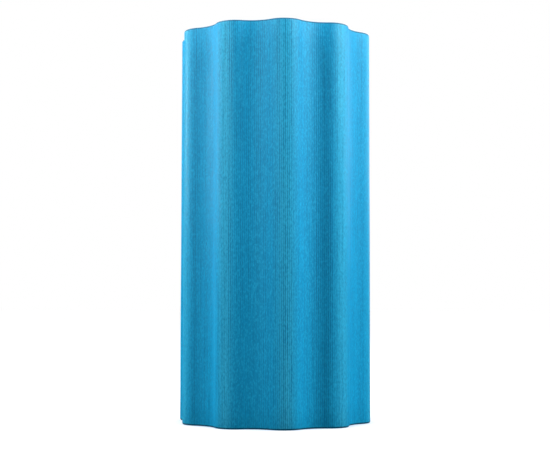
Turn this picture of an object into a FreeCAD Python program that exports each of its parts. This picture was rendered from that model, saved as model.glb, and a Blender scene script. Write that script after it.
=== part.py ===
"""Wave-profile foam roller: a foam sleeve with rounded lobes on a rigid tube, with a ring in each end.

Millimetres. The roller stands on one end: the origin is the middle of the lower end, +Z runs up the axis,
one crest points along +X, and the foam's closing seam lies in the groove that points along +Y.
"""

import FreeCAD, Part
import math
import os
import Sketcher

# The driving dimensions, in millimetres apart from the counts.
SIZES = (
    ("roller_length", 304.8),
    ("outer_diameter", 152.4),  # over two opposite crests
    ("lobe_count", 10),
    ("groove_depth", 7.5),  # from crest to groove floor
    ("crest_radius", 16),  # of a lobe's round nose, seen from the end
    ("rim_round", 1.5),  # on the foam's outer edge, at both ends
    ("seam_width", 0.4),
    ("seam_setback", 0.9),  # how far the glue stays below the groove floor
    ("tube_diameter", 110),
    ("tube_wall", 3),
    ("tube_chamfer", 0.5),
    ("film_thickness", 0.3),
    ("end_recess", 1),  # each ring sits this far inside the foam's end face
    ("flange_thickness", 2),
    ("flange_gap", 0.3),  # between the ring's flange and the foam
    ("spigot_length", 12),
    ("spigot_wall", 2.2),
    ("spigot_gap", 0.3),  # between the spigot and the tube, bridged by the crush ribs
    ("spigot_chamfer", 0.6),
    ("mouth_round", 1),
    ("flange_round", 0.5),
    ("crush_rib_count", 12),
    ("crush_rib_width", 1.2),
    ("crush_rib_length", 9),
    ("crush_rib_relief", 0.02),  # a rib's flat top stops this far short of the round bore that it meets
    ("root_depth", 0.5),  # a rib or a slit starts this far inside the wall that it grows from
)
TINY = 1e-4  # two heights or volumes closer than this are the same
ORIGIN_POINT = (-1, 1)
X_AXIS, Y_AXIS = -1, -2
START, END, CENTRE = 1, 2, 3

# Sizes that follow from the sheet's, as expressions.
BORE_RADIUS = "(sizes.tube_diameter / 2 + sizes.film_thickness)"
GROOVE_RADIUS = "(sizes.outer_diameter / 2 - sizes.groove_depth)"
END_INSET = "(sizes.end_recess + sizes.flange_thickness)"
TUBE_LENGTH = f"(sizes.roller_length - 2 * {END_INSET})"
TUBE_BORE_RADIUS = "(sizes.tube_diameter / 2 - sizes.tube_wall)"
SPIGOT_RADIUS = f"({TUBE_BORE_RADIUS} - sizes.spigot_gap)"
MOUTH_RADIUS = f"({SPIGOT_RADIUS} - sizes.spigot_wall)"
FLANGE_RADIUS = f"({BORE_RADIUS} - sizes.flange_gap)"

doc = FreeCAD.newDocument("foam_roller")
sheet = doc.addObject("Spreadsheet::Sheet", "sizes")


def fill_sheet():
    """Writes each size as a plain number with its name as the cell's alias."""
    for row, (name, value) in enumerate(SIZES, start=1):
        sheet.set(f"A{row}", name)
        sheet.set(f"B{row}", str(value))
        sheet.setAlias(f"B{row}", name)
    doc.recompute()


def size(name):
    """A size from the sheet, as a number."""
    return float(getattr(sheet, name))


def new_body(name):
    body = doc.addObject("PartDesign::Body", name)
    body.Label = name
    return body


def plane_of(body, role):
    return next(feature for feature in body.Origin.OriginFeatures if feature.Role == role)


def new_sketch(body, name, role="XY_Plane", height=None):
    """A sketch on one of the body's own origin planes, lifted by an expression if one is given."""
    sketch = body.newObject("Sketcher::SketchObject", name)
    sketch.AttachmentSupport = [(plane_of(body, role), "")]
    sketch.MapMode = "FlatFace"
    if height:
        sketch.setExpression("AttachmentOffset.Base.z", height)
    return sketch


def constrain(sketch, name, expression, *definition):
    """Adds a constraint whose value follows an expression."""
    index = sketch.addConstraint(Sketcher.Constraint(*definition))
    sketch.renameConstraint(index, name)
    sketch.setExpression(f"Constraints.{name}", expression)


def relate(sketch, *definition):
    sketch.addConstraint(Sketcher.Constraint(*definition))


def add_circle(sketch, name, radius, expression):
    """A circle round the origin."""
    circle = sketch.addGeometry(Part.Circle(FreeCAD.Vector(), FreeCAD.Vector(0, 0, 1), radius))
    relate(sketch, "Coincident", circle, CENTRE, *ORIGIN_POINT)
    constrain(sketch, name, expression, "Radius", circle, radius)


def add_polygon(sketch, points):
    """A closed run of straight lines through the points. Returns the lines' numbers."""
    lines = []
    for start, end in zip(points, points[1:] + points[:1]):
        line = Part.LineSegment(FreeCAD.Vector(*start), FreeCAD.Vector(*end))
        lines.append(sketch.addGeometry(line))
    for line, following in zip(lines, lines[1:] + lines[:1]):
        relate(sketch, "Coincident", line, END, following, START)
    return lines


def add_slot_outline(sketch, width, near, far):
    """A rectangle centred on the Y axis: its width, and its nearer and further distance from the origin.

    Each of the three is a name, a starting value and an expression.
    """
    half = width[1] / 2
    corners = [(-half, near[1], 0), (half, near[1], 0), (half, far[1], 0), (-half, far[1], 0)]
    low, right, high, left = add_polygon(sketch, corners)
    relate(sketch, "Horizontal", high)
    for line in (right, left):
        relate(sketch, "Vertical", line)
    relate(sketch, "Symmetric", low, START, low, END, Y_AXIS)
    constrain(sketch, width[0], width[2], "DistanceX", low, START, low, END, width[1])
    constrain(sketch, near[0], near[2], "DistanceY", *ORIGIN_POINT, low, START, near[1])
    constrain(sketch, far[0], far[2], "DistanceY", *ORIGIN_POINT, high, START, far[1])


def pad(body, sketch, name, length):
    feature = body.newObject("PartDesign::Pad", name)
    feature.Profile = sketch
    feature.setExpression("Length", length)
    doc.recompute()
    return feature


def cut_through(body, sketch, name):
    """Cuts the sketch's outline all the way up through the body, and stops if nothing was taken away."""
    before = body.Shape.Volume
    feature = body.newObject("PartDesign::Pocket", name)
    feature.Profile = sketch
    feature.Type = "ThroughAll"
    feature.Reversed = True
    doc.recompute()
    if body.Shape.Volume > before - TINY:
        raise RuntimeError(f"{name} cut nothing")


def repeat_round_axis(body, feature, name, count):
    """Repeats a feature round the body's Z axis and makes the pattern the body's tip."""
    pattern = body.newObject("PartDesign::PolarPattern", name)
    pattern.Originals = [feature]
    pattern.Axis = (plane_of(body, "Z_Axis"), [""])
    pattern.Angle = 360
    pattern.setExpression("Occurrences", count)
    pattern.Refine = True
    body.Tip = pattern
    doc.recompute()
    return pattern


def dress_edges(body, kind, name, wanted, measure, expression):
    """Fillets or chamfers the edges of the body's tip that the test picks out."""
    base = body.Tip
    edges = [f"Edge{i}" for i, edge in enumerate(base.Shape.Edges, start=1) if wanted(edge)]
    feature = body.newObject(f"PartDesign::{kind}", name)
    feature.Base = (base, edges)
    feature.setExpression(measure, expression)
    doc.recompute()


def is_level(edge, height):
    box = edge.BoundBox
    return abs(box.ZMin - height) < TINY and abs(box.ZMax - height) < TINY


def is_ring(edge, radius, height):
    """True for a level circular edge of that radius round the axis."""
    return (
        is_level(edge, height)
        and isinstance(edge.Curve, Part.Circle)
        and abs(edge.Curve.Radius - radius) < TINY
        and math.hypot(edge.Curve.Center.x, edge.Curve.Center.y) < TINY
    )


def groove_arc_radius(half_angle):
    """The radius of the groove's arc, which runs smoothly from the groove's middle into the crest's arc."""
    nose = size("crest_radius")
    nose_centre = size("outer_diameter") / 2 - nose
    floor = size("outer_diameter") / 2 - size("groove_depth")
    across = nose_centre * math.cos(half_angle)
    gap = nose_centre**2 + floor**2 - 2 * floor * across - nose**2
    return gap / (2 * (nose + across - floor))


def draw_lobe(sketch):
    """One lobe of the foam's section, from the middle of one groove to the middle of the next."""
    half_angle = math.pi / size("lobe_count")
    bore = size("tube_diameter") / 2 + size("film_thickness")
    floor = size("outer_diameter") / 2 - size("groove_depth")
    nose = size("crest_radius")
    nose_centre = FreeCAD.Vector(size("outer_diameter") / 2 - nose, 0, 0)
    groove = groove_arc_radius(half_angle)
    up = FreeCAD.Vector(0, 0, 1)

    def ray(distance, side):
        angle = side * half_angle
        return FreeCAD.Vector(distance * math.cos(angle), distance * math.sin(angle), 0)

    def arc(centre, radius, start_angle, end_angle):
        return Part.ArcOfCircle(Part.Circle(centre, up, radius), start_angle, end_angle)

    towards_groove = ray(floor + groove, 1) - nose_centre
    turn = math.atan2(towards_groove.y, towards_groove.x)
    low_side = sketch.addGeometry(Part.LineSegment(ray(bore, -1), ray(floor, -1)))
    low_groove = sketch.addGeometry(
        arc(ray(floor + groove, -1), groove, math.pi - turn, math.pi - half_angle)
    )
    crest = sketch.addGeometry(arc(nose_centre, nose, -turn, turn))
    high_groove = sketch.addGeometry(
        arc(ray(floor + groove, 1), groove, math.pi + half_angle, math.pi + turn)
    )
    high_side = sketch.addGeometry(Part.LineSegment(ray(floor, 1), ray(bore, 1)))
    inside = sketch.addGeometry(arc(FreeCAD.Vector(), bore, -half_angle, half_angle))

    relate(sketch, "Coincident", low_side, END, low_groove, END)
    relate(sketch, "Tangent", low_groove, START, crest, START)
    relate(sketch, "Tangent", crest, END, high_groove, END)
    relate(sketch, "Coincident", high_groove, START, high_side, START)
    relate(sketch, "Coincident", high_side, END, inside, END)
    relate(sketch, "Coincident", inside, START, low_side, START)
    relate(sketch, "Coincident", inside, CENTRE, *ORIGIN_POINT)
    relate(sketch, "PointOnObject", crest, CENTRE, X_AXIS)
    for side_line, groove_arc in ((low_side, low_groove), (high_side, high_groove)):
        relate(sketch, "PointOnObject", *ORIGIN_POINT, side_line)
        relate(sketch, "PointOnObject", groove_arc, CENTRE, side_line)
    relate(sketch, "Symmetric", low_groove, END, high_groove, START, X_AXIS)
    constrain(sketch, "bore", BORE_RADIUS, "Radius", inside, bore)
    constrain(sketch, "nose", "sizes.crest_radius", "Radius", crest, nose)
    constrain(
        sketch, "nose_centre", "sizes.outer_diameter / 2 - sizes.crest_radius",
        "DistanceX", *ORIGIN_POINT, crest, CENTRE, nose_centre.x,
    )
    constrain(
        sketch, "floor", GROOVE_RADIUS,
        "Distance", *ORIGIN_POINT, high_side, START, floor,
    )
    constrain(
        sketch, "pitch", "360 deg / sizes.lobe_count",
        "Angle", low_side, START, high_side, END, 2 * half_angle,
    )


def make_foam_sleeve():
    """The foam: one lobe repeated round the axis, rounded at both rims, and slit along its seam."""
    body = new_body("foam_sleeve")
    section = new_sketch(body, "lobe_section")
    draw_lobe(section)
    lobe = pad(body, section, "lobe", "sizes.roller_length")
    repeat_round_axis(body, lobe, "lobes", "sizes.lobe_count")
    ends = (0, size("roller_length"))
    bore = size("tube_diameter") / 2 + size("film_thickness")

    def on_a_rim(edge):
        middle = edge.valueAt((edge.FirstParameter + edge.LastParameter) / 2)
        outside = math.hypot(middle.x, middle.y) > bore + TINY
        return outside and any(is_level(edge, height) for height in ends)

    dress_edges(body, "Fillet", "rims", on_a_rim, "Radius", "sizes.rim_round")
    slit = new_sketch(body, "seam_outline")
    inner = bore - size("root_depth")
    outer = size("outer_diameter") / 2
    add_slot_outline(
        slit,
        ("width", size("seam_width"), "sizes.seam_width"),
        ("near", inner, f"{BORE_RADIUS} - sizes.root_depth"),
        ("far", outer, "sizes.outer_diameter / 2"),
    )
    cut_through(body, slit, "seam")
    return body


def make_core_tube():
    """The rigid tube that carries the load, with its four edges broken."""
    body = new_body("core_tube")
    section = new_sketch(body, "tube_section")
    outside = size("tube_diameter") / 2
    inside = outside - size("tube_wall")
    add_circle(section, "outside", outside, "sizes.tube_diameter / 2")
    add_circle(section, "inside", inside, TUBE_BORE_RADIUS)
    wall = pad(body, section, "wall", TUBE_LENGTH)
    ends = (0, float(wall.Length))

    def on_an_end(edge):
        return any(is_level(edge, height) for height in ends)

    dress_edges(body, "Chamfer", "broken_edges", on_an_end, "Size", "sizes.tube_chamfer")
    body.setExpression(".Placement.Base.z", END_INSET)
    return body


def make_bonding_film():
    """The glue: a thin layer round the tube, and a strip in the foam's seam, just short of its surface."""
    body = new_body("bonding_film")
    layer_outline = new_sketch(body, "layer_outline", height=END_INSET)
    tube = size("tube_diameter") / 2
    bore = tube + size("film_thickness")
    add_circle(layer_outline, "inside", tube, "sizes.tube_diameter / 2")
    add_circle(layer_outline, "outside", bore, BORE_RADIUS)
    pad(body, layer_outline, "layer", TUBE_LENGTH)
    strip_outline = new_sketch(body, "strip_outline")
    start = tube + size("film_thickness") / 2
    stop = size("outer_diameter") / 2 - size("groove_depth") - size("seam_setback")
    add_slot_outline(
        strip_outline,
        ("width", size("seam_width"), "sizes.seam_width"),
        ("near", start, "(sizes.tube_diameter + sizes.film_thickness) / 2"),
        ("far", stop, f"{GROOVE_RADIUS} - sizes.seam_setback"),
    )
    pad(body, strip_outline, "strip", "sizes.roller_length")
    return body


def draw_ring_section(sketch):
    """Half of the ring's section, right of the axis: a flange over the tube's end and a spigot inside it."""
    flange = size("flange_thickness")
    foot = flange + size("spigot_length")
    tube_bore = size("tube_diameter") / 2 - size("tube_wall")
    spigot = tube_bore - size("spigot_gap")
    mouth = spigot - size("spigot_wall")
    rim = size("tube_diameter") / 2 + size("film_thickness") - size("flange_gap")
    corners = [
        (mouth, 0, 0),
        (rim, 0, 0),
        (rim, -flange, 0),
        (spigot, -flange, 0),
        (spigot, -foot, 0),
        (mouth, -foot, 0),
    ]
    top, edge, under, outer_wall, end, inner_wall = add_polygon(sketch, corners)
    for line in (under, end):
        relate(sketch, "Horizontal", line)
    for line in (edge, outer_wall, inner_wall):
        relate(sketch, "Vertical", line)
    relate(sketch, "PointOnObject", top, START, X_AXIS)
    relate(sketch, "PointOnObject", top, END, X_AXIS)
    constrain(
        sketch, "mouth", MOUTH_RADIUS,
        "DistanceX", *ORIGIN_POINT, top, START, mouth,
    )
    constrain(
        sketch, "rim", FLANGE_RADIUS,
        "DistanceX", *ORIGIN_POINT, top, END, rim,
    )
    constrain(
        sketch, "spigot", SPIGOT_RADIUS,
        "DistanceX", *ORIGIN_POINT, end, START, spigot,
    )
    constrain(
        sketch, "flange", "sizes.flange_thickness",
        "DistanceY", edge, END, edge, START, flange,
    )
    constrain(
        sketch, "foot", "sizes.flange_thickness + sizes.spigot_length",
        "DistanceY", end, START, *ORIGIN_POINT, foot,
    )


def make_end_ring(name):
    """A ring that snaps into the tube's end, flange up: its outer face is at the body's own origin."""
    body = new_body(name)
    section = new_sketch(body, f"{name}_section", "XZ_Plane")
    draw_ring_section(section)
    turned = body.newObject("PartDesign::Revolution", f"{name}_turned")
    turned.Profile = section
    turned.ReferenceAxis = (section, ["V_Axis"])
    turned.Angle = 360
    doc.recompute()

    foot_height = -size("flange_thickness") - size("spigot_length")
    tube_bore = size("tube_diameter") / 2 - size("tube_wall")
    spigot = tube_bore - size("spigot_gap")
    mouth = spigot - size("spigot_wall")
    rim = size("tube_diameter") / 2 + size("film_thickness") - size("flange_gap")
    rings = (
        ("Fillet", "mouth", mouth, 0, "Radius", "sizes.mouth_round"),
        ("Fillet", "flange", rim, 0, "Radius", "sizes.flange_round"),
        ("Chamfer", "lead_in", spigot, foot_height, "Size", "sizes.spigot_chamfer"),
    )
    for kind, part_name, radius, height, measure, expression in rings:

        def this_ring(edge, radius=radius, height=height):
            return is_ring(edge, radius, height)

        dress_edges(body, kind, f"{name}_{part_name}", this_ring, measure, expression)

    rib_outline = new_sketch(
        body,
        f"{name}_rib_outline",
        height="-sizes.flange_thickness - sizes.crush_rib_length",
    )
    add_slot_outline(
        rib_outline,
        ("width", size("crush_rib_width"), "sizes.crush_rib_width"),
        ("near", spigot - size("root_depth"), f"{SPIGOT_RADIUS} - sizes.root_depth"),
        ("far", tube_bore - size("crush_rib_relief"), f"{TUBE_BORE_RADIUS} - sizes.crush_rib_relief"),
    )
    rib = pad(body, rib_outline, f"{name}_rib", "sizes.crush_rib_length")
    repeat_round_axis(body, rib, f"{name}_ribs", "sizes.crush_rib_count")
    return body


def make_end_rings():
    """The same ring at both ends, the lower one turned over."""
    top = make_end_ring("end_ring_top")
    top.setExpression(".Placement.Base.z", "sizes.roller_length - sizes.end_recess")
    bottom = make_end_ring("end_ring_bottom")
    bottom.Placement.Rotation = FreeCAD.Rotation(FreeCAD.Vector(1, 0, 0), 180)
    bottom.setExpression(".Placement.Base.z", "sizes.end_recess")
    return [top, bottom]


def check(bodies):
    """Stops if any object failed, or any sub-part isn't one sound solid."""
    for item in doc.Objects:
        if {"Invalid", "Error"} & set(item.State):
            raise RuntimeError(f"{item.Label} failed: {item.State}")
    for body in bodies:
        shape = body.Shape
        if shape.isNull() or not shape.isValid() or len(shape.Solids) != 1:
            raise RuntimeError(f"{body.Label} isn't one sound solid")


def export(bodies):
    os.makedirs("parts", exist_ok=True)
    for body in bodies:
        body.Shape.exportStep(f"parts/{body.Label}.step")
        box = body.Shape.optimalBoundingBox()
        extent = f"{box.XLength:.2f} x {box.YLength:.2f} x {box.ZLength:.2f}"
        print(f"{body.Label}: {extent} mm, {len(body.Shape.Faces)} faces, {body.Shape.Volume:.0f} mm3")


fill_sheet()
sub_parts = [make_foam_sleeve(), make_core_tube(), make_bonding_film(), *make_end_rings()]
doc.recompute()
check(sub_parts)
export(sub_parts)
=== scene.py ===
"""Foam roller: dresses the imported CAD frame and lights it. Metres, in the CAD's own frame.

The plain foam solid is replaced by a detailed one, with its fine lengthwise ribs, its seam and its cut ends.
The tube, the glue and the end rings keep their CAD shapes, and get their materials here.
"""

import math
import bpy
import numpy as np
from mathutils import Euler, Matrix, Vector, noise


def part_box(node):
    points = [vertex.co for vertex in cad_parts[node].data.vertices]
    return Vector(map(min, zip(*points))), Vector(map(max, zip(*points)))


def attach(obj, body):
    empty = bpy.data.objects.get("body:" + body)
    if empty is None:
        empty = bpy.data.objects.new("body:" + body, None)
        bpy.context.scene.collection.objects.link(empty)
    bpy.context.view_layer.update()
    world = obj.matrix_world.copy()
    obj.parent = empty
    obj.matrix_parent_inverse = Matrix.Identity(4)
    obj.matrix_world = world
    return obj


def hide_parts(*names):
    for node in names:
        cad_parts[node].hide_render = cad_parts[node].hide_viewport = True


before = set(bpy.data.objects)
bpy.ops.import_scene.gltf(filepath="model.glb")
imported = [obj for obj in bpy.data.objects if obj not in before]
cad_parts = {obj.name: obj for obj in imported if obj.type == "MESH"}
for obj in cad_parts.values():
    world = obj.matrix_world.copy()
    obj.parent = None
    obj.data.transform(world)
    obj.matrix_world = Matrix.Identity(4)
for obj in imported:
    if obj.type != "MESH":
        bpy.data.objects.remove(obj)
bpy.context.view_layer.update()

# The foam's shape where its box doesn't give it, as in the CAD.
LOBES = 10
GROOVE_DEPTH = 0.0075
CREST_RADIUS = 0.016
RIM_ROUND = 0.0015
SEAM_WIDTH = 0.0004
SEAM_ANGLE = math.pi / 2

# The foam's ribs. The spreads are shares of the depth and of the pitch.
RIBS_PER_LOBE = 33
RIB_DEPTH = 0.00009
RIB_SHARPNESS = 3  # above 1, the valleys are narrower than the ribs
RIB_DEPTH_SPREAD = 0.25
RIB_PITCH_SPREAD = 0.06

# How finely the foam is divided.
STEPS_PER_RIB = 6
WALL_STEPS = 18
RIM_STEPS = 5
FACE_STEPS = 8
SHARP_EDGE = math.radians(38)

# The slow waves: how deep they are, then waves per metre, seed and share.
SKIN_WAVE = 0.0003
SKIN_SWAYS = ((11.0, 4.0, 0.7), (37.0, 9.0, 0.3))
CUT_WAVE = 0.00018
CUT_SWAYS = ((60.0, 2.0, 1.0),)
SEED_SPREAD = (1.0, 2.3, 0.7)  # how far a seed shifts the noise along each axis

# The seam's rounded lips, and how far from a crest's middle the scuffing and the painted highlight reach.
SEAM_LIP = 0.00035
SEAM_LIP_REACH = 0.0009
CREST_REACH = 0.006

foam_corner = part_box("foam_sleeve")[1]
film_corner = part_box("bonding_film")[1]
CREST = foam_corner[0]
HEIGHT = foam_corner[2]
BORE = film_corner[0]

chance = np.random.default_rng(7)


# ---------------------------------------------------------------- foam


def lobe_arcs():
    """The two arcs that make a lobe: the groove's radius and centre, and the angle where the arcs meet."""
    half = math.pi / LOBES
    nose = CREST - CREST_RADIUS
    floor = CREST - GROOVE_DEPTH
    across = nose * math.cos(half)
    gap = nose**2 + floor**2 - 2 * floor * across - CREST_RADIUS**2
    groove = gap / (2 * (CREST_RADIUS + across - floor))
    centre = ((floor + groove) * math.cos(half), (floor + groove) * math.sin(half))
    turn = math.atan2(centre[1], centre[0] - nose)
    return groove, centre, turn


def foam_outline():
    """Points once round the foam's outer edge, from one lip of the seam to the other.

    Returns the distance along the edge, the points and the outward normals, and the length of one lobe.
    """
    half = math.pi / LOBES
    groove, centre, turn = lobe_arcs()
    nose = CREST - CREST_RADIUS
    crest_part = CREST_RADIUS * turn
    lobe = 2 * (crest_part + groove * (turn - half))
    lip = SEAM_WIDTH / 2
    along = np.linspace(0, LOBES * lobe, LOBES * RIBS_PER_LOBE * STEPS_PER_RIB + 1)
    along[0] = lip
    along[-1] -= lip
    number = np.minimum(along // lobe, LOBES - 1)
    from_crest = along - (number + 0.5) * lobe
    side = np.sign(from_crest)
    distance = np.abs(from_crest)
    on_crest = distance <= crest_part
    angle = np.where(on_crest, distance / CREST_RADIUS, turn - (distance - crest_part) / groove)
    reach = np.where(on_crest, CREST_RADIUS, -groove)
    x = np.where(on_crest, nose, centre[0]) + reach * np.cos(angle)
    y = (np.where(on_crest, 0, centre[1]) + reach * np.sin(angle)) * side
    normal_x = np.cos(angle)
    normal_y = np.sin(angle) * side
    heading = SEAM_ANGLE + (2 * number + 1) * half
    cos, sin = np.cos(heading), np.sin(heading)
    points = np.stack([x * cos - y * sin, x * sin + y * cos], axis=1)
    normals = np.stack([normal_x * cos - normal_y * sin, normal_x * sin + normal_y * cos], axis=1)
    points[0, 0], points[-1, 0] = -lip, lip
    return along, points, normals, lobe


def smooth_noise(points, scale, seed):
    """Slow noise from 0 to 1 at each point."""
    shift = Vector([seed * spread for spread in SEED_SPREAD])
    values = [noise.noise(Vector(point) * scale + shift) for point in points.reshape(-1, 3)]
    return (np.array(values).reshape(points.shape[:-1]) + 1) / 2


def sway(points, waves):
    """Several slow noises added up by their shares."""
    return sum(smooth_noise(points, scale, seed) * share for scale, seed, share in waves)


def rib_valleys(along, lobe):
    """How deep each point lies in the valley between two ribs, from 0 on a rib's back to about 1."""
    pitch = lobe / RIBS_PER_LOBE
    count = LOBES * RIBS_PER_LOBE + 1
    depths = 1 + RIB_DEPTH_SPREAD * chance.uniform(-1, 1, count)
    shifts = RIB_PITCH_SPREAD * chance.uniform(-1, 1, count)
    number = np.rint(along / pitch).astype(int)
    phase = along / pitch - number - shifts[number]
    return depths[number] * np.abs(np.cos(np.pi * phase)) ** RIB_SHARPNESS


def foam_rows():
    """The foam's surface as rows of points, from the bore's lower edge out, up and back in on top.

    Returns the rows, the outline's normals, how much each point of a row lies in a valley and on a crest, and
    how much each row lies on a rim.
    """
    along, points, normals, lobe = foam_outline()
    valley = rib_valleys(along, lobe)
    from_seam = np.minimum(along, along[-1] + along[0] - along)
    lips = SEAM_LIP * np.exp(-(((from_seam - along[0]) / SEAM_LIP_REACH) ** 2))
    relief = RIB_DEPTH * valley + lips
    from_crest = np.abs((along / lobe) % 1 - 0.5) * lobe
    crest = np.exp(-((from_crest / CREST_REACH) ** 2))
    bearing = np.arctan2(points[:, 1], points[:, 0])
    bore = BORE * np.stack([np.cos(bearing), np.sin(bearing)], axis=1)
    bore[[0, -1], 0] = points[[0, -1], 0]

    def row(flat, height):
        return np.column_stack([flat, np.full(len(flat), height)])

    def skin(inset, height):
        return row(points - normals * (inset + relief)[:, None], height)

    rim = [math.pi / 2 * step / RIM_STEPS for step in range(RIM_STEPS + 1)]
    rounding = [(RIM_ROUND * (1 - math.sin(a)), RIM_ROUND * (1 - math.cos(a))) for a in rim]
    lower_rim = [skin(inset, rise) for inset, rise in rounding]
    upper_rim = [skin(inset, HEIGHT - rise) for inset, rise in rounding[::-1]]
    heights = np.linspace(RIM_ROUND, HEIGHT - RIM_ROUND, WALL_STEPS + 1)[1:-1]
    wall = [skin(0, height) for height in heights]
    edge = lower_rim[0][:, :2]
    shares = [step / FACE_STEPS for step in range(FACE_STEPS)]
    lower_face = [row(bore + (edge - bore) * share, 0) for share in shares]
    upper_face = [row(bore + (edge - bore) * share, HEIGHT) for share in shares[::-1]]
    rows = np.array(lower_face + lower_rim + wall + upper_rim + upper_face)
    rounded = [math.cos(a) for a in rim]
    on_rim = [1] * FACE_STEPS + rounded + [0] * len(wall) + rounded[::-1] + [1] * FACE_STEPS
    return rows, normals, valley, crest, np.array(on_rim)


def settle_foam(rows, normals):
    """Takes the machine's perfection off the foam: slow waves in the skin and in the two cut ends."""
    skin = rows[FACE_STEPS:-FACE_STEPS]
    skin[:, :, :2] -= normals[None, :, :] * (SKIN_WAVE * sway(skin, SKIN_SWAYS))[:, :, None]
    lower_face = rows[:FACE_STEPS]
    upper_face = rows[-FACE_STEPS:]
    lower_face[:, :, 2] += CUT_WAVE * sway(lower_face, CUT_SWAYS)
    upper_face[:, :, 2] -= CUT_WAVE * sway(upper_face, CUT_SWAYS)


def make_foam(skin_material, cut_material):
    """The foam as one closed mesh: the moulded skin outside, cut foam at the ends, the seam and the bore."""
    rows, normals, valley, crest, on_rim = foam_rows()
    settle_foam(rows, normals)
    row_count, column_count = rows.shape[:2]
    index = np.arange(row_count * column_count).reshape(row_count, column_count)
    wrapped = np.vstack([index, index[:1]])
    quads = np.stack([wrapped[:-1, :-1], wrapped[:-1, 1:], wrapped[1:, 1:], wrapped[1:, :-1]], axis=-1)
    faces = quads.reshape(-1, 4).tolist()
    faces.append(index[:, 0].tolist())
    faces.append(index[::-1, -1].tolist())
    mesh = bpy.data.meshes.new("foam")
    mesh.from_pydata(rows.reshape(-1, 3).tolist(), [], faces)
    mesh.materials.append(skin_material)
    mesh.materials.append(cut_material)
    is_cut = np.ones((row_count, column_count - 1), dtype=int)
    is_cut[FACE_STEPS : row_count - FACE_STEPS - 1] = 0
    mesh.polygons.foreach_set("material_index", is_cut.ravel().tolist() + [1, 1])
    values = {
        "valley": np.tile(valley, row_count),
        "crest": np.tile(crest, row_count),
        "rim": np.repeat(on_rim, column_count),
    }
    for name, value in values.items():
        mesh.attributes.new(name, "FLOAT", "POINT").data.foreach_set("value", value)
    mesh.shade_smooth()
    mesh.set_sharp_from_angle(angle=SHARP_EDGE)
    foam = bpy.data.objects.new("foam", mesh)
    bpy.context.scene.collection.objects.link(foam)
    return foam


# ---------------------------------------------------------------- materials

EVEN = (1, 1, 1)
# A Mix node's sockets when it mixes colours.
MIX_FIRST = 6
MIX_SECOND = 7
MIX_RESULT = 2


def new_material(name, **inputs):
    """A material with plain values on its shader. Returns the material, its node tree and its shader."""
    material = bpy.data.materials.new(name)
    material.use_nodes = True
    tree = material.node_tree
    shader = tree.nodes["Principled BSDF"]
    for key, value in inputs.items():
        shader.inputs[key.replace("_", " ")].default_value = value
    return material, tree, shader


def add_noise(tree, scale, detail=2.0, roughness=0.5, stretch=EVEN):
    """Noise in the object's own coordinates, in waves per metre. Returns its value from 0 to 1."""
    place = tree.nodes.new("ShaderNodeTexCoord")
    mapping = tree.nodes.new("ShaderNodeMapping")
    texture = tree.nodes.new("ShaderNodeTexNoise")
    mapping.inputs["Scale"].default_value = stretch
    texture.inputs["Scale"].default_value = scale
    texture.inputs["Detail"].default_value = detail
    texture.inputs["Roughness"].default_value = roughness
    tree.links.new(place.outputs["Object"], mapping.inputs["Vector"])
    tree.links.new(mapping.outputs["Vector"], texture.inputs["Vector"])
    return texture.outputs["Fac"]


def add_cells(tree, scale):
    """Small round cells. Returns the distance from the middle of the nearest one."""
    place = tree.nodes.new("ShaderNodeTexCoord")
    cells = tree.nodes.new("ShaderNodeTexVoronoi")
    cells.inputs["Scale"].default_value = scale
    tree.links.new(place.outputs["Object"], cells.inputs["Vector"])
    return cells.outputs["Distance"]


def add_range(tree, value, low, high, start=0.3, stop=0.7):
    """Maps a value from start..stop to low..high."""
    node = tree.nodes.new("ShaderNodeMapRange")
    node.inputs["From Min"].default_value = start
    node.inputs["From Max"].default_value = stop
    node.inputs["To Min"].default_value = low
    node.inputs["To Max"].default_value = high
    tree.links.new(value, node.inputs["Value"])
    return node.outputs["Result"]


def add_mix(tree, share, first, second):
    """Mixes two colours, or a colour and a linked one, by a share."""
    node = tree.nodes.new("ShaderNodeMix")
    node.data_type = "RGBA"
    tree.links.new(share, node.inputs["Factor"])
    for socket, colour in ((node.inputs[MIX_FIRST], first), (node.inputs[MIX_SECOND], second)):
        if isinstance(colour, tuple):
            socket.default_value = (*colour, 1)
        else:
            tree.links.new(colour, socket)
    return node.outputs[MIX_RESULT]


def add_bump(tree, shader, height, depth, under=None):
    """A bump that is depth metres deep where the height goes from 0 to 1."""
    node = tree.nodes.new("ShaderNodeBump")
    node.inputs["Distance"].default_value = depth
    tree.links.new(height, node.inputs["Height"])
    if under:
        tree.links.new(under, node.inputs["Normal"])
    tree.links.new(node.outputs["Normal"], shader.inputs["Normal"])
    return node.outputs["Normal"]


def add_attribute(tree, name):
    """A value that the mesh holds at each of its points."""
    node = tree.nodes.new("ShaderNodeAttribute")
    node.attribute_name = name
    return node.outputs["Fac"]


def add_math(tree, operation, first, second):
    """Joins two values, or a value and a number."""
    node = tree.nodes.new("ShaderNodeMath")
    node.operation = operation
    for socket, value in zip(node.inputs, (first, second)):
        if isinstance(value, float):
            socket.default_value = value
        else:
            tree.links.new(value, socket)
    return node.outputs["Value"]


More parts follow.
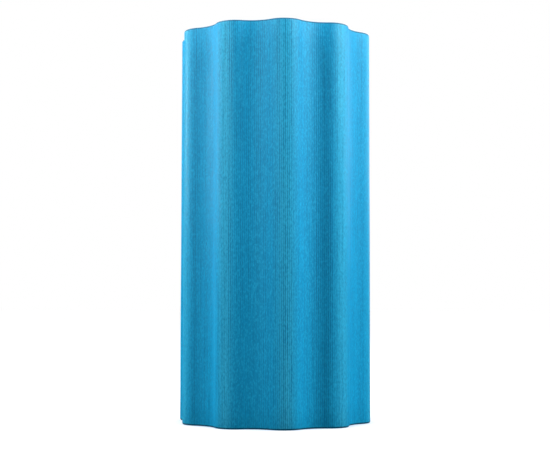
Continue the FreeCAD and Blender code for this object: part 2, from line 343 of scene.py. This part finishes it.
def foam_skin():
    """The moulded outside: painted shade between the ribs, and paler and smoother on the crests, where the
    paler colour is partly scuffing and partly a painted highlight.

    It is matt on the rims, and painted shade makes it dark there.
    """
    fresh = ((0.001, 0.358, 0.682), (0.003, 0.378, 0.712))
    scuff_and_painted_highlight = (0.055, 0.540, 0.820)
    # Painted shade for the valleys between the ribs.
    painted_rib_shade = (0.001, 0.190, 0.420)
    dark_speck = (0.001, 0.190, 0.430)
    pale_speck = (0.020, 0.570, 0.890)
    # Painted shade for the rounded rims.
    painted_rim_shade = (0.001, 0.080, 0.165)
    material, tree, shader = new_material(
        "foam_skin", Specular_IOR_Level=0.45, Specular_Tint=(0.62, 1.0, 0.8, 1)
    )
    cloud = add_noise(tree, scale=30.0)
    grain = add_noise(tree, scale=1000.0, roughness=0.6, stretch=(1, 1, 0.45))
    streak = add_noise(tree, scale=500.0, stretch=(1, 1, 0.04))
    crest = add_attribute(tree, "crest")
    valley = add_attribute(tree, "valley")
    rim = add_range(tree, add_attribute(tree, "rim"), low=0, high=0.9, start=0.0, stop=0.3)

    colour = add_mix(tree, add_range(tree, cloud, low=0, high=1), *fresh)
    # Paler crests: partly scuffing, partly a painted highlight where the crests catch the light.
    scuff_and_highlight_share = add_math(tree, "MULTIPLY", crest, add_range(tree, grain, low=0.4, high=1.0))
    colour = add_mix(tree, scuff_and_highlight_share, colour, scuff_and_painted_highlight)
    # Painted shade: the colour darkens between the ribs, where their valleys would fall in shade.
    depth = add_math(tree, "MULTIPLY", valley, add_range(tree, streak, low=0.25, high=0.95))
    colour = add_mix(tree, depth, colour, painted_rib_shade)
    dark_share = add_range(tree, grain, low=0.36, high=0, start=0.30, stop=0.50)
    colour = add_mix(tree, dark_share, colour, dark_speck)
    pale_share = add_range(tree, grain, low=0, high=0.45, start=0.50, stop=0.70)
    colour = add_mix(tree, pale_share, colour, pale_speck)
    # Painted shade: the rims are darkened in colour.
    colour = add_mix(tree, rim, colour, painted_rim_shade)
    tree.links.new(colour, shader.inputs["Base Color"])

    worn = add_range(tree, crest, low=0.48, high=0.34, start=0.0, stop=1.0)
    worn = add_math(tree, "ADD", worn, add_range(tree, grain, low=-0.05, high=0.05))
    worn = add_math(tree, "ADD", worn, add_range(tree, rim, low=0, high=0.4, start=0.0, stop=0.9))
    tree.links.new(worn, shader.inputs["Roughness"])
    add_bump(tree, shader, grain, depth=0.00008)
    return material


def foam_cut():
    """Sliced foam: small closed cells with painted shade in their hollows, slow patches, and faint straight
    marks from the blade. Its dark tone is partly painted shade.
    """
    # From the cells' hollows, painted darker as shade, to their walls; the whole tone is kept dark partly as
    # painted shade.
    cell_colours_with_painted_shade = ((0.001, 0.062, 0.150), (0.003, 0.165, 0.330))
    patch_colour = (0.004, 0.190, 0.370)
    blade_mark = (0.001, 0.070, 0.170)
    material, tree, shader = new_material("foam_cut", Specular_IOR_Level=0.25)
    cell = add_range(tree, add_cells(tree, scale=1100.0), low=0, high=1, start=0.1, stop=0.6)
    patch = add_noise(tree, scale=120.0, detail=3.0, roughness=0.6)
    blade = add_noise(tree, scale=330.0, detail=3.0, roughness=0.6, stretch=(1, 0.03, 1))

    # Painted shade in the cell hollows.
    colour = add_mix(tree, cell, *cell_colours_with_painted_shade)
    colour = add_mix(tree, add_range(tree, patch, low=0, high=0.35), colour, patch_colour)
    mark_share = add_range(tree, blade, low=0.45, high=0, start=0.35, stop=0.55)
    colour = add_mix(tree, mark_share, colour, blade_mark)
    tree.links.new(colour, shader.inputs["Base Color"])

    roughness = add_range(tree, cell, low=0.75, high=0.9, start=0.0, stop=1.0)
    tree.links.new(roughness, shader.inputs["Roughness"])
    marks = add_bump(tree, shader, blade, depth=0.0002)
    add_bump(tree, shader, cell, depth=0.00025, under=marks)
    return material


def varied_material(name, texture, colours, roughness, depth):
    """A material whose colour, roughness and height all follow one noise."""
    material, tree, shader = new_material(name)
    pattern = add_noise(tree, **texture)
    colour = add_mix(tree, add_range(tree, pattern, low=0, high=1), *colours)
    tree.links.new(colour, shader.inputs["Base Color"])
    tree.links.new(add_range(tree, pattern, *roughness), shader.inputs["Roughness"])
    add_bump(tree, shader, pattern, depth)
    return material


def core_plastic():
    """Black extruded plastic, with faint lines drawn along the tube."""
    return varied_material(
        "core_plastic",
        texture={"scale": 900.0, "stretch": (1, 1, 0.01)},
        colours=((0.020, 0.020, 0.022), (0.032, 0.032, 0.034)),
        roughness=(0.38, 0.52),
        depth=0.00004,
    )


def ring_plastic():
    """Black moulded plastic with a fine spark-eroded grain."""
    return varied_material(
        "ring_plastic",
        texture={"scale": 1800.0, "roughness": 0.6},
        colours=((0.016, 0.016, 0.018), (0.026, 0.026, 0.028)),
        roughness=(0.40, 0.55),
        depth=0.00003,
    )


def glue():
    """Dried amber contact adhesive, brushed on unevenly."""
    return varied_material(
        "glue",
        texture={"scale": 260.0, "detail": 3.0},
        colours=((0.34, 0.25, 0.11), (0.55, 0.44, 0.24)),
        roughness=(0.25, 0.5),
        depth=0.0001,
    )


def dress(node, material):
    """Gives a CAD node its material."""
    for material_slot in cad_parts[node].material_slots:
        material_slot.material = material


# ---------------------------------------------------------------- camera, light and floor

CAMERA_AZIMUTH = math.radians(11.28)
CAMERA_DISTANCE = 13.164 * CREST
CAMERA_HEIGHT = 1.2242 * CREST
CAMERA_PITCH = 0.0612
CAMERA_ROLL = 0.0014
CAMERA_YAW = 0.0005
LENS = 82.72


def make_camera():
    """A long lens, low and a little below the middle of the roller, tilted up."""
    data = bpy.data.cameras.new("camera")
    data.lens = LENS
    camera = bpy.data.objects.new("camera", data)
    camera.location = (
        CAMERA_DISTANCE * math.sin(CAMERA_AZIMUTH),
        -CAMERA_DISTANCE * math.cos(CAMERA_AZIMUTH),
        CAMERA_HEIGHT,
    )
    level = Euler((math.pi / 2 + CAMERA_PITCH, 0, CAMERA_AZIMUTH - CAMERA_YAW)).to_matrix()
    camera.rotation_euler = (level @ Matrix.Rotation(CAMERA_ROLL, 3, "Z")).to_euler()
    bpy.context.scene.collection.objects.link(camera)
    bpy.context.scene.camera = camera


WHITE = (1.0, 1.0, 1.0)
# A light's width and height.
BOX = (0.2, 0.3)
STRIP = (0.12, 0.5)
PANEL = (0.1, 0.1)
# Name, degrees from the camera to the viewer's right, distance, height, size and watts.
SOFTBOXES = (
    ("left_rear_high", -125, 1.2, 1.5, BOX, 28),
    ("left_high", -60, 1.2, 1.5, BOX, 16),
    ("right_front_high", 45, 1.2, 1.5, BOX, 15),
    ("right_high", 90, 1.2, 1.5, BOX, 20),
    ("left_near", -75, 0.6, 0.85, BOX, 3),
    ("right_near_high", 90, 0.6, 0.85, BOX, 2),
    ("right_near", 60, 0.6, 0.55, BOX, 1.5),
    ("left_edge", -105, 0.6, 0.35, BOX, 0.8),
    ("front_low", -30, 0.6, 0.4, BOX, 0.6),
    ("right_edge", 125, 0.6, 0.35, BOX, 0.4),
    ("left_strip", -65, 1.2, 0.6, STRIP, 1.5),
    ("right_strip", 85, 1.2, 0.6, STRIP, 2),
    ("rear_high", 175, 1.2, 1.1, BOX, 8),
)
UNDER_LIGHT = ("under", 0, 0, -0.5, PANEL, 1.8)


def add_softbox(name, bearing, distance, height, size, power):
    """A soft light turned to the roller's middle. The bearing is from the camera, to the viewer's right."""
    data = bpy.data.lights.new(name, "AREA")
    data.shape = "RECTANGLE"
    data.size, data.size_y = size
    data.energy = power
    light = bpy.data.objects.new(name, data)
    angle = CAMERA_AZIMUTH + math.radians(bearing)
    light.location = (distance * math.sin(angle), -distance * math.cos(angle), height)
    aim = Vector((0, 0, HEIGHT / 2)) - light.location
    light.rotation_euler = aim.to_track_quat("-Z", "Y").to_euler()
    light.visible_camera = False
    bpy.context.scene.collection.objects.link(light)
    return light


def make_lights():
    """The soft lights round the roller, and a weak one under it that stays out of reflections in the bore."""
    for softbox in SOFTBOXES:
        add_softbox(*softbox)
    under = add_softbox(*UNDER_LIGHT)
    under.visible_glossy = False


FLOOR_REACH = 12
SHADOW_REACH = 0.02
PAPER_COLOUR = (0.15, 0.15, 0.15, 1)
# The glow's colour inside the painted contact shadow.
PAINTED_SHADOW_GLOW = (0.42, 0.56, 0.72)


def make_floor():
    """A wide floor of white glowing paper, with a faint painted shadow in its glow where the roller meets it,
    and clear from below.

    It lets the light under it through, to the roller's lower end.
    """
    mesh = bpy.data.meshes.new("floor")
    corners = [
        (-FLOOR_REACH, -FLOOR_REACH, 0),
        (FLOOR_REACH, -FLOOR_REACH, 0),
        (FLOOR_REACH, FLOOR_REACH, 0),
        (-FLOOR_REACH, FLOOR_REACH, 0),
    ]
    mesh.from_pydata(corners, [], [(0, 1, 2, 3)])
    floor = bpy.data.objects.new("floor", mesh)
    material, tree, shader = new_material(
        "floor_paper", Base_Color=PAPER_COLOUR, Roughness=0.9, Specular_IOR_Level=0.0, Emission_Strength=1.0
    )
    contact = tree.nodes.new("ShaderNodeAmbientOcclusion")
    contact.inputs["Distance"].default_value = SHADOW_REACH
    outside_painted_shadow = add_range(tree, contact.outputs["AO"], low=0, high=1, start=0.35, stop=0.95)
    # Painted contact shadow: the glow turns darker and bluer where the roller meets the floor.
    tree.links.new(add_mix(tree, outside_painted_shadow, PAINTED_SHADOW_GLOW, WHITE), shader.inputs["Emission Color"])
    side = tree.nodes.new("ShaderNodeNewGeometry")
    seen_from_above = add_math(tree, "SUBTRACT", 1.0, side.outputs["Backfacing"])
    tree.links.new(seen_from_above, shader.inputs["Alpha"])
    mesh.materials.append(material)
    bpy.context.scene.collection.objects.link(floor)
    floor.visible_diffuse = False
    floor.visible_glossy = False
    floor.visible_shadow = False


WORLD_LIGHT = 0.02


def make_world():
    """White where the camera sees it, and dim as a light."""
    world = bpy.data.worlds.new("studio")
    world.use_nodes = True
    tree = world.node_tree
    background = tree.nodes["Background"]
    background.inputs["Color"].default_value = (*WHITE, 1)
    path = tree.nodes.new("ShaderNodeLightPath")
    is_seen = path.outputs["Is Camera Ray"]
    strength = add_range(tree, is_seen, low=WORLD_LIGHT, high=1.0, start=0.0, stop=1.0)
    tree.links.new(strength, background.inputs["Strength"])
    bpy.context.scene.world = world


make_camera()
foam = make_foam(foam_skin(), foam_cut())
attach(foam, "root")
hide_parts("foam_sleeve")
dress("core_tube", core_plastic())
dress("end_ring_top", ring_plastic())
dress("end_ring_bottom", ring_plastic())
dress("bonding_film", glue())
make_lights()
make_floor()
make_world()
bpy.context.scene.view_settings.view_transform = "Standard"
